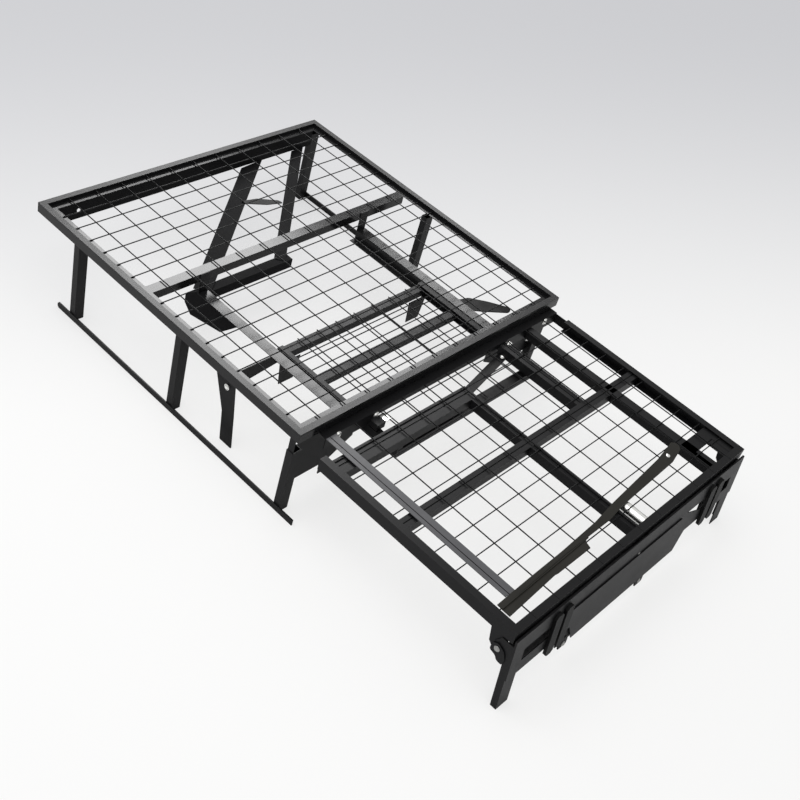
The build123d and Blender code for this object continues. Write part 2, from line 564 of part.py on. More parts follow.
# Support arms from the rear cross plate to a low cross tube, and its link to the left guide rail
arm_x0 = plate_x0 + PLATE
low_x = REAR + LOW_BAR_FROM_REAR
low_top = LOW_BAR_HEIGHT + LOW_BAR_SIDE / 2
for name, top_y, low_y, width in (("left", ARM_TOP_SIDES[0], ARM_LOW_SIDES[0], ARM_WIDTHS[0]),
                                  ("right", ARM_TOP_SIDES[1], ARM_LOW_SIDES[1], ARM_WIDTHS[1])):
    arm = flat_bar((arm_x0 - width, top_y, MAIN_HEIGHT - ARM_TOP_DROP), (low_x, low_y, low_top),
                   width, ARM_THICK, (0, 0, 1))
    arm = arm - block(REAR - BED_LENGTH, arm_x0, -BED_WIDTH, BED_WIDTH, 0, MAIN_HEIGHT)
    arm = arm - block(REAR, MAIN_FRONT, -HALF, HALF, 0, low_top)
    save(arm, f"{name}_support_arm")
link_y = -GUIDE_WEB - STEEL
low_x0, low_x1 = low_x - LOW_BAR_SIDE / 2, low_x + LOW_BAR_SIDE / 2
low_bar = block(low_x0, low_x1, link_y, LOW_BAR_RIGHT, low_top - LOW_BAR_SIDE, low_top)
low_bore = block(low_x0 + LOW_BAR_WALL, low_x1 - LOW_BAR_WALL, -HALF, HALF,
                 low_top - LOW_BAR_SIDE + LOW_BAR_WALL, low_top - LOW_BAR_WALL)
save(low_bar - low_bore, "low_cross_bar")
link_x1 = low_x1 + LINK_LENGTH
low_link = along_y(
    [(low_x0, low_top - LOW_BAR_SIDE), (low_x0 + LOW_BAR_SIDE, low_top - LOW_BAR_SIDE - LINK_DROP),
     (link_x1 - 2 * LOW_BAR_SIDE, low_top - LOW_BAR_SIDE), (link_x1, GUIDE_BOTTOM),
     (link_x1, GUIDE_TOP - STEEL), (guide_rear, GUIDE_TOP - STEEL), (low_x0, low_top)],
    link_y - PLATE, link_y)
save(low_link, "low_link")

# Inner leg on the left, with an arm that reaches the guide rail
inner_x0 = REAR + INNER_LEG_FROM_REAR
inner_y0 = -HALF + INNER_LEG_INSET
inner_top = GUIDE_TOP - STEEL
inner_leg = along_x(
    [(inner_y0, 0), (inner_y0 + INNER_LEG_WIDTH, 0),
     (inner_y0 + INNER_LEG_WIDTH, GUIDE_BOTTOM - INNER_LEG_TAPER),
     (-GUIDE_WEB - STEEL, GUIDE_BOTTOM - STEEL), (-GUIDE_WEB - STEEL, inner_top), (inner_y0, inner_top)],
    inner_x0, inner_x0 + PLATE)
inner_flange = block(inner_x0, inner_x0 + INNER_LEG_WIDTH, inner_y0, inner_y0 + PLATE, 0, inner_top)
save(inner_leg + inner_flange, "inner_leg")

# Ears under the panel's side rails, with the pins that the front legs turn on
pivot_x = PANEL_FRONT - PIVOT_FROM_PANEL_FRONT
pivot_z = PANEL_BOTTOM - PIVOT_DROP
ear_y0 = -PANEL_HALF + STEEL
ear_r = 4 * PIN_RADIUS
ear_top = bar_top - STEEL
ear = along_y(
    [(pivot_x - 3 * ear_r, ear_top), (pivot_x + ear_r, ear_top), (pivot_x + ear_r, pivot_z),
     (pivot_x + ear_r / 2, pivot_z - ear_r), (pivot_x - ear_r, pivot_z - ear_r),
     (pivot_x - 2 * ear_r, pivot_z)],
    ear_y0, ear_y0 + PLATE)
pin = peg(pivot_x, ear_y0 - PIN_LENGTH / 2 + PLATE, pivot_z, PIN_RADIUS, PIN_LENGTH)
save(ear + pin, "left_ear")
save(across(ear + pin), "right_ear")


# Folding front leg frame: two side plates with front flanges, a cross plate and clips
def face_x(z):
    """The leg frame's leaning front face at a height."""
    return LEG_FOOT_FACE - z * LEAN


side_y1 = ear_y0 - RUNNING_GAP
side_y0 = side_y1 - FRONT_LEG_THICK
knee_z = pivot_z - ear_r
side = along_y(
    [(face_x(0) - FRONT_LEG_FOOT_WIDTH, 0), (face_x(0), 0), (face_x(LEG_TOP), LEG_TOP),
     (pivot_x, LEG_TOP), (pivot_x - ear_r, pivot_z + ear_r), (pivot_x - ear_r, pivot_z - ear_r / 2),
     (pivot_x, pivot_z - ear_r), (face_x(knee_z) - FRONT_LEG_FOOT_WIDTH, knee_z - ear_r)],
    side_y0, side_y1)
side = side - peg(pivot_x, side_y1, pivot_z, PIN_RADIUS + PIN_GAP, 4 * FRONT_LEG_THICK)


def leaning(outline, proud, thick):
    """An outline drawn in (y, z) on the leaning face, standing proud of it."""
    low, high = -1.0, MAIN_HEIGHT
    sheet = along_y(
        [(face_x(low) + proud, low), (face_x(low) + proud + thick, low),
         (face_x(high) + proud + thick, high), (face_x(high) + proud, high)], -HALF, HALF)
    return sheet & along_x(outline, face_x(high) - BED_LENGTH, face_x(low) + BED_LENGTH)


flange_y1 = side_y0 + FRONT_LEG_FLANGE
flange = leaning([(side_y0, 0), (flange_y1, 0), (flange_y1, BAND_TOP), (side_y0, BAND_TOP)],
                 -FRONT_LEG_THICK, FRONT_LEG_THICK)
save(side + flange, "left_folding_leg")
save(across(side + flange), "right_folding_leg")

slope_y = APRON_HALF + APRON_SLOPE
frame_face = leaning(
    [(side_y0, BAND_LOW), (-slope_y, BAND_LOW), (-APRON_HALF, APRON_LOW), (APRON_HALF, APRON_LOW),
     (slope_y, BAND_LOW), (-side_y0, BAND_LOW), (-side_y0, BAND_TOP), (side_y0, BAND_TOP)], 0, PLATE)
window = leaning(
    [(flange_y1, WINDOW_LOW), (flange_y1, WINDOW_HIGH), (-APRON_HALF, WINDOW_HIGH), (-WINDOW_INNER, WINDOW_LOW)],
    -PLATE, 3 * PLATE)
save(frame_face - window - across(window), "leg_cross_plate")

# Clips: rounded slats on the front of the cross plate
clip_top = BAND_TOP - CLIP_TOP_DROP
clips = None
for y in CLIP_SIDES:
    r = CLIP_WIDTH / 2
    slat = leaning(
        [(y - r, CLIP_LOW + r / 2), (y - r / 2, CLIP_LOW), (y + r / 2, CLIP_LOW), (y + r, CLIP_LOW + r / 2),
         (y + r, clip_top - r / 2), (y + r / 2, clip_top), (y - r / 2, clip_top), (y - r, clip_top - r / 2)],
        PLATE, CLIP_DEPTH)
    clips = slat if clips is None else clips + slat
save(clips, "leg_clips")
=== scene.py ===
# %% [markdown]
# A pull-out sofa bed frame in black steel. The CAD solids give every rail, leg and plate its shape.
# This lesson dresses them: it swaps the flat wire grids for round welded wires, adds bolts, nuts
# and small stampings, and gives each surface its finish. We start by loading the frame.

# %% Load the frame
import math
import bpy
from mathutils import Matrix, Vector


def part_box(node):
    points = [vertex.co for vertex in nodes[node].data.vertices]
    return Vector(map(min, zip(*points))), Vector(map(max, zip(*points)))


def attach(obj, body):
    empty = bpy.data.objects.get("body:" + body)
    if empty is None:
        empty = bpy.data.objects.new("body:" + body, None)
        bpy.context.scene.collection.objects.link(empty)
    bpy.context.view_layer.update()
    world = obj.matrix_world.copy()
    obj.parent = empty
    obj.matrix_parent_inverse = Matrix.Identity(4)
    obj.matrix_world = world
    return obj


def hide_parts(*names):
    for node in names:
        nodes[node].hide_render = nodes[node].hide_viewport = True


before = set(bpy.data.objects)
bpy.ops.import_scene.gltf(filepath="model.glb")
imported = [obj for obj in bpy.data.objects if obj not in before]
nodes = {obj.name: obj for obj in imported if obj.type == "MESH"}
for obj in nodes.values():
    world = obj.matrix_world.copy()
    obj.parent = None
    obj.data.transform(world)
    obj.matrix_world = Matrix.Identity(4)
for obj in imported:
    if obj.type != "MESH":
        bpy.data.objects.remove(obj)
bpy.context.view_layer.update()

# %% [markdown]
# The photograph was taken from above the front left corner, with the camera rolled a little
# clockwise. We build the camera's axes from its azimuth, elevation and roll, and write them
# straight into its matrix. That is surer than a tracking constraint, which can't roll.

# %% Camera
IMAGE_SIZE = 800
SENSOR = 36.0
FAR_CLIP = 50
AZIMUTH, ELEVATION, ROLL = math.radians(31.576), math.radians(40.570), math.radians(17.919)
DISTANCE = 3.8775
FOCAL_PIXELS = 1188.24
TARGET = Vector((0.0586, 0.0483, 0.0210))

back = Vector((math.sin(AZIMUTH) * math.cos(ELEVATION), -math.cos(AZIMUTH) * math.cos(ELEVATION),
               math.sin(ELEVATION)))
level = Vector((math.cos(AZIMUTH), math.sin(AZIMUTH), 0))
above = back.cross(level)
right = level * math.cos(ROLL) + above * math.sin(ROLL)
up = above * math.cos(ROLL) - level * math.sin(ROLL)
camera_data = bpy.data.cameras.new("camera")
camera_data.sensor_width = SENSOR
camera_data.lens = SENSOR * FOCAL_PIXELS / IMAGE_SIZE
camera_data.clip_end = FAR_CLIP
camera = bpy.data.objects.new("camera", camera_data)
bpy.context.scene.collection.objects.link(camera)
place = Matrix((right, up, back)).transposed().to_4x4()
place.translation = TARGET + back * DISTANCE
camera.matrix_world = place
bpy.context.scene.camera = camera
print("camera at", [round(v, 3) for v in camera.location], "lens", round(camera_data.lens, 1))

# %% [markdown]
# Powder coat is a plastic skin baked on steel: nearly black, with a very fine orange-peel texture.
# Welded wires get the same coat, bolts are zinc plated, and the guide rails are worn smooth. One
# helper builds a Principled material with a noise bump and a faint change of roughness, all on
# Object coordinates, so that the pattern keeps its size in millimetres on every piece.

# %% Material helper
CLOUD_SCALE, CLOUD_DETAIL = 9.0, 5.0
PEEL_DETAIL, PEEL_DEPTH = 2.0, 0.001
DARKER, LIGHTER = 0.8, 1.25
COLOR_A, COLOR_B, COLOR_RESULT = 6, 7, 2


def add(tree, kind, **values):
    """A new node with its constants set; an underscore in a name stands for a space."""
    node = tree.nodes.new(kind)
    for socket, value in values.items():
        node.inputs[socket.replace("_", " ")].default_value = value
    return node


def color_mix(tree, factor, first, second):
    """The color output of a mix between two colors."""
    mix = add(tree, "ShaderNodeMix")
    mix.data_type = "RGBA"
    mix.inputs[COLOR_A].default_value = (*first, 1)
    mix.inputs[COLOR_B].default_value = (*second, 1)
    tree.links.new(factor, mix.inputs["Factor"])
    return mix.outputs[COLOR_RESULT]


def finish(name, color, roughness, metallic=0.0, grain=600.0, bump=0.05, patch=0.06, specular=0.5,
           ledge=None):
    """A steel finish with fine grain and uneven gloss; a ledge is (height, roughness below it)."""
    material = bpy.data.materials.new(name)
    material.use_nodes = True
    tree = material.node_tree
    link = tree.links.new
    shader = tree.nodes["Principled BSDF"]
    shader.inputs["Metallic"].default_value = metallic
    shader.inputs["Specular IOR Level"].default_value = specular
    where = add(tree, "ShaderNodeTexCoord")
    clouds = add(tree, "ShaderNodeTexNoise", Scale=CLOUD_SCALE, Detail=CLOUD_DETAIL)
    link(where.outputs["Object"], clouds.inputs["Vector"])
    gloss = add(tree, "ShaderNodeMapRange", To_Min=roughness - patch, To_Max=roughness + patch)
    link(clouds.outputs["Fac"], gloss.inputs["Value"])
    rough = gloss.outputs["Result"]
    if ledge:
        height, smooth = ledge
        parts = add(tree, "ShaderNodeSeparateXYZ")
        link(where.outputs["Object"], parts.inputs["Vector"])
        below = add(tree, "ShaderNodeMath")
        below.operation = "LESS_THAN"
        below.inputs[1].default_value = height
        link(parts.outputs["Z"], below.inputs[0])
        rolled = add(tree, "ShaderNodeMix", B=smooth)
        link(below.outputs["Value"], rolled.inputs["Factor"])
        link(rough, rolled.inputs["A"])
        rough = rolled.outputs["Result"]
    link(rough, shader.inputs["Roughness"])
    dark, light = [c * DARKER for c in color], [min(1.0, c * LIGHTER) for c in color]
    link(color_mix(tree, clouds.outputs["Fac"], dark, light), shader.inputs["Base Color"])
    peel = add(tree, "ShaderNodeTexNoise", Scale=grain, Detail=PEEL_DETAIL)
    link(where.outputs["Object"], peel.inputs["Vector"])
    relief = add(tree, "ShaderNodeBump", Strength=bump, Distance=PEEL_DEPTH)
    link(peel.outputs["Fac"], relief.inputs["Height"])
    link(relief.outputs["Normal"], shader.inputs["Normal"])
    return material


LEDGE_HEIGHT = 0.316
powder_coat = finish("powder_coat", (0.006, 0.006, 0.0065), 0.42, specular=0.12)
rail_coat = finish("rail_coat", (0.007, 0.007, 0.0075), 0.34, bump=0.015, specular=0.16,
                   ledge=(LEDGE_HEIGHT, 0.16))
glide_coat = finish("glide_coat", (0.010, 0.010, 0.0105), 0.22, bump=0.015, patch=0.03, specular=0.14)
# The strap's base colour is far paler than the other coats: a painted sheen standing in for the lamp's
# reflection on its top.
strap_painted_sheen = finish("strap_painted_sheen", (0.085, 0.085, 0.09), 0.36, bump=0.02, specular=0.15)
matt_coat = finish("matt_coat", (0.009, 0.009, 0.0095), 0.5, specular=0.015)
steel_nut = finish("steel_nut", (0.30, 0.30, 0.29), 0.36, metallic=1.0, grain=900.0, bump=0.15)
wire_coat = finish("wire_coat", (0.004, 0.004, 0.0045), 0.40, grain=300.0, specular=0.10)
zinc = finish("zinc", (0.78, 0.78, 0.76), 0.26, metallic=1.0, grain=900.0, bump=0.1)
thin_coat = finish("thin_coat", (0.016, 0.015, 0.012), 0.42, specular=0.12)
nylon = finish("nylon", (0.004, 0.004, 0.004), 0.5, grain=200.0, specular=0.1)
print("materials:", [m.name for m in bpy.data.materials])

# %% [markdown]
# Each CAD node keeps its mesh and gets its finish through its material slot. The short tube beside
# the centre bar is bare zinc. Rolling leaves the ledges of the main rails smoother than their tops,
# and the guide rails and the strap are polished where other pieces slide over them. The strap's much
# paler colour is a painted sheen: it stands in for the lamp's reflection on its top.

# %% Dress the CAD nodes
FINISHES = {"bright_tube": zinc, "left_strap": strap_painted_sheen, "main_crossbar": rail_coat,
            "left_guide_rail": glide_coat, "right_guide_rail": glide_coat, "leg_clips": nylon}
FINISHES.update({name: matt_coat for name in ("left_support_arm", "right_support_arm", "low_cross_bar",
                                              "low_link", "rear_cross_plate")})
FINISHES.update({f"{side}_rail": rail_coat for side in ("left", "right", "rear", "front")})
for name, node in nodes.items():
    node.data.materials.clear()
    node.data.materials.append(FINISHES.get(name, powder_coat))
print("dressed", len(nodes), "nodes")

# %% [markdown]
# New pieces are made by hand tools in edit mode. A finished object sits at the origin with its place
# in its mesh, so a helper applies its transform, gives it a finish and hangs it on the body that
# it moves with.

# %% Finishing helpers
def deselect():
    """Nothing selected, so that the next tool acts only on what it adds."""
    bpy.ops.object.select_all(action="DESELECT")


def settle(piece, name, body, material):
    """Names a piece, puts its place into its mesh, and hangs it on a body."""
    deselect()
    piece.select_set(True)
    bpy.context.view_layer.objects.active = piece
    bpy.ops.object.transform_apply(location=True, rotation=True, scale=True)
    piece.name = name
    piece.data.name = name
    piece.data.materials.clear()
    piece.data.materials.append(material)
    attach(piece, body)
    return piece


def joined(pieces):
    """Several objects as one."""
    deselect()
    for piece in pieces:
        piece.select_set(True)
    bpy.context.view_layer.objects.active = pieces[0]
    bpy.ops.object.join()
    return bpy.context.object


def copied(model, matrix):
    """A copy of a modelled piece, with its own mesh, moved by a matrix."""
    twin = bpy.data.objects.new(model.name, model.data.copy())
    bpy.context.scene.collection.objects.link(twin)
    twin.data.transform(matrix)
    return twin


# %% [markdown]
# A real wire deck is two layers of round wire, spot welded where they cross. The CAD has flat bars in
# one plane. We model one eight-sided wire, then copy it along each line of the grid: lengthwise
# wires on top, crosswise wires below them, both within the height that the deck has. The weld
# presses the crossing wires a little into each other, so the layers lie less than a wire apart.

# %% Round wires
WIRE_RADIUS, WIRE_SIDES = 0.0019, 8
LAYER_STEP = 1.9
BED_WIDTH, CELLS_ACROSS = 1.2, 12
LONG_WIRES = CELLS_ACROSS - 1
CARRIAGE_WIRES = 7

deselect()
bpy.ops.mesh.primitive_cylinder_add(vertices=WIRE_SIDES, radius=WIRE_RADIUS, depth=1.0,
                                    end_fill_type="NGON")
wire_model = bpy.context.object
bpy.ops.object.shade_smooth_by_angle(angle=math.radians(50))


def wire(start, end):
    """One straight wire between two points."""
    run = end - start
    turn = run.to_track_quat("Z", "Y").to_matrix().to_4x4()
    stretch = Matrix.Diagonal((1, 1, run.length, 1))
    return copied(wire_model, Matrix.Translation((start + end) / 2) @ turn @ stretch)


def deck(name, node, body, long_wires, cross_wires, pitch=BED_WIDTH / CELLS_ACROSS):
    """A layer of lengthwise wires over a layer of crosswise wires, in place of a flat grid."""
    low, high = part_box(node)
    z_cross = low.z + WIRE_RADIUS
    z_long = z_cross + LAYER_STEP * WIRE_RADIUS
    wires = []
    for i in range(long_wires):
        y = (i - (long_wires - 1) / 2) * pitch
        wires.append(wire(Vector((low.x, y, z_long)), Vector((high.x, y, z_long))))
    for i in range(cross_wires):
        x = low.x + (high.x - low.x) * (i + 1) / (cross_wires + 1)
        wires.append(wire(Vector((x, -high.y, z_cross)), Vector((x, high.y, z_cross))))
    sheet = settle(joined(wires), name, body, wire_coat)
    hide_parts(node)
    print(name, len(sheet.data.polygons), "faces")


deck("rear_wires", "rear_mesh", "base", LONG_WIRES, 6)
deck("front_wires", "front_mesh", "base", LONG_WIRES, 9)
deck("panel_wires", "panel_mesh", "pull_out", LONG_WIRES, 9)
carriage_pitch = 2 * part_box("carriage_mesh")[1].y / (CARRIAGE_WIRES + 1)
deck("carriage_wires", "carriage_mesh", "pull_out", CARRIAGE_WIRES, 7, carriage_pitch)
bpy.data.objects.remove(wire_model)

# %% [markdown]
# The frame is held together by zinc-plated bolts with domed heads. One bolt is modelled along Z: a
# washer, then half a sphere pressed flatter into a dome. Copies are turned to face the way each bolt
# faces, and the bolts of one group are joined into one object. The nuts at the pivots and on the
# leg frame are plain steel, and duller. Places come from the CAD boxes, except on the strip, whose
# box also holds its bracket.

# %% Bolts
HEAD_RADIUS, HEAD_HEIGHT = 0.0072, 0.0045
WASHER_RADIUS, WASHER_HEIGHT = 0.0092, 0.0015
ROUND_STEPS = 24
REAR_END = 1020.0  # mm from the rear end of the bed to the origin

deselect()
bpy.ops.mesh.primitive_cylinder_add(vertices=ROUND_STEPS, radius=WASHER_RADIUS, depth=WASHER_HEIGHT,
                                    location=(0, 0, WASHER_HEIGHT / 2))
washer = bpy.context.object
deselect()
bpy.ops.mesh.primitive_uv_sphere_add(segments=ROUND_STEPS, ring_count=ROUND_STEPS // 2,
                                     radius=HEAD_RADIUS)
head = bpy.context.object
bpy.ops.object.mode_set(mode="EDIT")
bpy.ops.mesh.bisect(plane_co=(0, 0, 0), plane_no=(0, 0, 1), clear_inner=True, use_fill=True)
bpy.ops.object.mode_set(mode="OBJECT")
head.data.transform(Matrix.Translation((0, 0, WASHER_HEIGHT)) @ Matrix.Diagonal(
    (1, 1, HEAD_HEIGHT / HEAD_RADIUS, 1)))
bpy.ops.object.shade_smooth_by_angle(angle=math.radians(40))
bolt_model = joined([washer, head])
bolt_model.name = "bolt"


def bolts(name, body, places, size=1.0, plating=None):
    """Copies of the bolt at (point, direction) places, as one object."""
    made = []
    for point, facing in places:
        turn = Vector(facing).to_track_quat("Z", "Y").to_matrix().to_4x4()
        made.append(copied(bolt_model, Matrix.Translation(point) @ turn @ Matrix.Scale(size, 4)))
    settle(joined(made), name, body, plating or zinc)
    print(name, len(places), "bolts")


def at(from_rear, y, z):
    """A point given in millimetres from the rear end of the bed."""
    return Vector((from_rear / 1000 - REAR_END / 1000, y / 1000, z / 1000))


FRONT, TOP, LEFT = (1, 0, 0), (0, 0, 1), (0, -1, 0)
STRIP_FACE = 1236.0
PIVOT_X, PIVOT_Y, PIVOT_Z = 1968.5, 584.0, 195.5
FOOT_FACE = 2037.0
LEAN = math.radians(6.5)
APRON_NORMAL = (math.cos(LEAN), 0, math.sin(LEAN))
STRIP_BOLTS = ((-465, 275), (-309, 270), (512, 275))
GUSSET_BOLT_Y, GUSSET_BOLT_Z = 556, 138
APRON_NUTS = ((-307, 55, 0.003), (86, 40, 0.002), (4, 203, 0))


def on_apron(y, z):
    """A point on the leaning front face of the leg frame."""
    return at(FOOT_FACE - z * math.tan(LEAN), y, z)


gusset_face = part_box("front_gussets")[1].x * 1000 + REAR_END
bolts("strip_bolts", "pull_out", [(at(STRIP_FACE, y, z), FRONT) for y, z in STRIP_BOLTS], 1.25)
bolts("gusset_bolts", "base",
      [(at(gusset_face, side * GUSSET_BOLT_Y, GUSSET_BOLT_Z), FRONT) for side in (-1, 1)], 1.3)
bolts("brace_bolt", "pull_out", [(at(1868, 325, 288.2), TOP)])
arm_top, short_top = [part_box(name)[1].z * 1000 for name in ("panel_diagonal_arm", "panel_short_bar")]
bolts("short_bar_bolts", "pull_out", [(at(1246, 304, short_top), TOP), (at(1262, 264, arm_top), TOP)], 1.15)
bolts("inner_leg_bolt", "base", [(at(872, -551, 209), LEFT)], 1.1)
bolts("pivot_nuts", "front_legs",
      [(at(PIVOT_X, side * PIVOT_Y, PIVOT_Z), (0, side, 0)) for side in (-1, 1)], 1.4, steel_nut)
bolts("apron_nuts", "front_legs",
      [(on_apron(y, z) + Vector((proud, 0, 0)), APRON_NORMAL) for y, z, proud in APRON_NUTS], 0.9, steel_nut)
bpy.data.objects.remove(bolt_model)

# %% [markdown]
# The small plates are stampings cut from flat sheet. One helper lays out a stamping's corners as an
# n-sided face, rounds them, and pushes the sheet's thickness out of it. The outline lies in the plan,
# in a plane across the bed or in one along it, so that each plate is drawn as it is cut, in
# millimetres from the rear end, from the middle and from the floor.

# %% Stamping helper
PLAN = Matrix(((1, 0, 0), (0, 1, 0), (0, 0, 1))).to_4x4()
ACROSS = Matrix(((0, 0, 1), (1, 0, 0), (0, 1, 0))).to_4x4()
ALONG = Matrix(((1, 0, 0), (0, 0, -1), (0, 1, 0))).to_4x4()
PLATE, SHEET = 3, 2.5
CORNER_STEPS = 4


def stamping(outline, plane, level, thick=PLATE, corner=0.0):
    """A flat plate from an outline in millimetres, `level` along the plane's own normal."""
    deselect()
    bpy.ops.mesh.primitive_circle_add(vertices=len(outline), radius=1.0, fill_type="NGON")
    piece = bpy.context.object
    for vertex, (u, v) in zip(piece.data.vertices, outline):
        vertex.co = (u / 1000, v / 1000, 0)
    bpy.ops.object.mode_set(mode="EDIT")
    bpy.ops.mesh.select_all(action="SELECT")
    if corner:
        bpy.ops.mesh.bevel(offset=corner / 1000, segments=CORNER_STEPS, affect="VERTICES")
    bpy.ops.mesh.select_all(action="SELECT")
    bpy.ops.mesh.extrude_region_move(TRANSFORM_OT_translate={"value": (0, 0, thick / 1000)})
    bpy.ops.mesh.select_all(action="SELECT")
    bpy.ops.mesh.normals_make_consistent(inside=False)
    bpy.ops.object.mode_set(mode="OBJECT")
    piece.data.transform(Matrix.Translation((0, 0, level / 1000)))
    piece.data.transform(plane)
    piece.data.transform(Matrix.Translation((-REAR_END / 1000, 0, 0)))
    return piece


# %% [markdown]
# The brace over the panel is a folded bar: a slim strip with a ledge along its front on the left,
# which steps in and ends half way to the centre bar. The strip then widens to a rounded end on the
# right strap. It could be blanked and folded from one sheet, so the fold stands up as a ridge. The
# wide CAD brace is swapped for this one.

# %% Brace
BRACE_BOTTOM, FOLD_RISE = 285.5, 1.5
STRIP_FRONT = [(1924, -556), (1919, -428), (1913, -266), (1914, -162), (1914, -52), (1904, 30),
               (1892, 318)]
STRIP_END = [(1876, 384), (1864, 396), (1848, 396), (1840, 384)]
STRIP_REAR = [(1857, 284), (1880, 8), (1893, -97), (1901, -268), (1904, -422), (1908, -556)]
LEDGE_FRONT = [(1920, -179), (1942, -187), (1942, -335), (1940, -347), (1952, -556)]
RIDGE = [(0, 286), (1, 286), (1, 290), (0.9, 291), (0, 292)]
strip = stamping(STRIP_FRONT + STRIP_END + STRIP_REAR, PLAN, BRACE_BOTTOM + FOLD_RISE, SHEET)
ledge = stamping(STRIP_FRONT[:4] + LEDGE_FRONT, PLAN, BRACE_BOTTOM, SHEET)


def edge_plate(start, end, outline):
    """A plate that stands on a line in the plan; its outline is (along the line, height)."""
    run = (Vector(end) - Vector(start)) / 1000
    piece = stamping([(u * run.length * 1000, v) for u, v in outline], ALONG, 0, SHEET)
    piece.data.transform(Matrix.Translation((REAR_END / 1000, 0, 0)))
    piece.data.transform(Matrix.Rotation(math.atan2(run.y, run.x), 4, "Z"))
    piece.data.transform(Matrix.Translation(at(*start, 0)))
    return piece


ridge = edge_plate(STRIP_FRONT[0], STRIP_FRONT[3], RIDGE)
brace = settle(joined([strip, ledge, ridge]), "brace", "pull_out", thin_coat)
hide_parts("diagonal_brace")
print("brace faces", len(brace.data.polygons))

# %% [markdown]
# The bright tube lies beside the centre bar. We cut it as a ring: a cylinder with open ends, given
# its wall with a solidify modifier, then turned to lie along the bed.

# %% Bright tube
TUBE_RADIUS, TUBE_WALL, TUBE_LENGTH = 0.019, 0.0015, 0.098
TUBE_MIDDLE, BAR_SIDE, TUBE_HEIGHT = 1948, 36, 262
deselect()
bpy.ops.mesh.primitive_cylinder_add(vertices=40, radius=TUBE_RADIUS, depth=TUBE_LENGTH,
                                    end_fill_type="NOTHING",
                                    location=at(TUBE_MIDDLE, BAR_SIDE + 1000 * TUBE_RADIUS, TUBE_HEIGHT),
                                    rotation=(0, math.pi / 2, 0))
tube = bpy.context.object
wall = tube.modifiers.new("wall", "SOLIDIFY")
wall.thickness = TUBE_WALL
wall.offset = -1
bpy.ops.object.modifier_apply(modifier="wall")
bpy.ops.object.shade_smooth_by_angle(angle=math.radians(40))
settle(tube, "zinc_tube", "pull_out", zinc)
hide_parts("bright_tube")
print("tube faces", len(tube.data.polygons))

# %% [markdown]
# The inner leg is a flat blade that narrows and leans forward towards the floor; its arm reaches the
# guide rail. Both are cut from the same plate and welded into a T, so we stamp one along the bed and
# one across it and join them.

# %% Inner leg
BLADE = [(816, 237), (900, 237), (916, 120), (930, 0), (878, 0), (866, 110)]
BLADE_SIDE, ARM_FROM_REAR = 545, 860
ARM = [(-545, 160), (-530, 176), (-339.5, 200.7), (-339.5, 237.5), (-545, 237.5)]
blade = stamping(BLADE, ALONG, BLADE_SIDE, corner=4)
inner_leg = settle(joined([blade, stamping(ARM, ACROSS, ARM_FROM_REAR)]), "inner_blade", "base",
                   powder_coat)
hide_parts("inner_leg")
print("inner leg faces", len(inner_leg.data.polygons))

# %% [markdown]
# Folded edges stiffen thin steel. The right strap has a top flange that widens towards the front,
# with a tongue over the stays; the panel's side rails turn in at the bottom and become channels; a
# lip closes the top of the folding leg frame. Each edge is laid out from the piece that it belongs
# to. The two leaf levers between the decks are plain nylon-coated stampings.

# %% Folded edges and levers
FLANGE_SHEET = 2
FLANGE_WIDE, FLANGE_SLIM = 36, 22
RETURN_INNER, RETURN_OUTER = 560, 580.5
LIP_LEVEL, LIP_HALF, LIP_DEPTH = 236.5, 583, 20
RIGHT_LEVER_LEVEL, REAR_LEVER_LEVEL = 234.5, 224
LIP_FACE = FOOT_FACE - 238 * math.tan(LEAN) - 3
TONGUE = [(1906, 500), (1984, 500), (1984, 534), (1906, 534)]
RIGHT_LEVER = [(965, 341), (1012, 341), (1064, 408), (1114, 482), (1110, 500), (1092, 504), (1035, 462),
               (985, 415)]
REAR_LEVER = [(182, 96), (204, 108), (240, 168), (258, 226), (240, 222), (196, 158)]


def ends_and_level(node):
    """Where a node starts and ends from the rear, its far side and its bottom and top, all in mm."""
    low, high = [corner * 1000 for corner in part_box(node)]
    return low.x + REAR_END, high.x + REAR_END, high.y, low.z, high.z


start, end, side_y, _, strap_top = ends_and_level("right_strap")
strap_flange = stamping([(start, side_y), (end, side_y), (end, side_y + FLANGE_WIDE),
                         (start, side_y + FLANGE_SLIM)], PLAN, strap_top - FLANGE_SHEET, FLANGE_SHEET)
tongue = stamping(TONGUE, PLAN, strap_top - FLANGE_SHEET, FLANGE_SHEET)
start, end, _, rail_bottom, _ = ends_and_level("panel_right_rail")
returns = [stamping([(start, side * RETURN_INNER), (end, side * RETURN_INNER), (end, side * RETURN_OUTER),
                     (start, side * RETURN_OUTER)], PLAN, rail_bottom, SHEET) for side in (-1, 1)]
right_lever = stamping(RIGHT_LEVER, PLAN, RIGHT_LEVER_LEVEL, corner=6)
rear_lever = stamping(REAR_LEVER, PLAN, REAR_LEVER_LEVEL, corner=5)
leg_lip = stamping([(LIP_FACE - LIP_DEPTH, -LIP_HALF), (LIP_FACE, -LIP_HALF), (LIP_FACE, LIP_HALF),
                    (LIP_FACE - LIP_DEPTH, LIP_HALF)], PLAN, LIP_LEVEL)
for piece, name, body, coat in ((tongue, "stay_tongue", "pull_out", powder_coat),
                                (strap_flange, "strap_flange", "pull_out", powder_coat),
                                (joined(returns), "rail_returns", "pull_out", powder_coat),
                                (right_lever, "right_lever", "base", nylon),
                                (rear_lever, "rear_lever", "base", nylon),
                                (leg_lip, "leg_lip", "front_legs", powder_coat)):
    settle(piece, name, body, coat)
    print(name, len(piece.data.polygons), "faces")

# %% [markdown]
# The front leg frame carries a folded hem across its apron, two small latch tabs at the apron's
# lower edge, and plates behind its windows. A bright zinc tab marks the lock on the strip above the
# deck, and hooks at both pivots catch the folded legs. What lies on the apron is stamped upright and
# then leaned back with it, so that its outline can be read in heights from the floor.

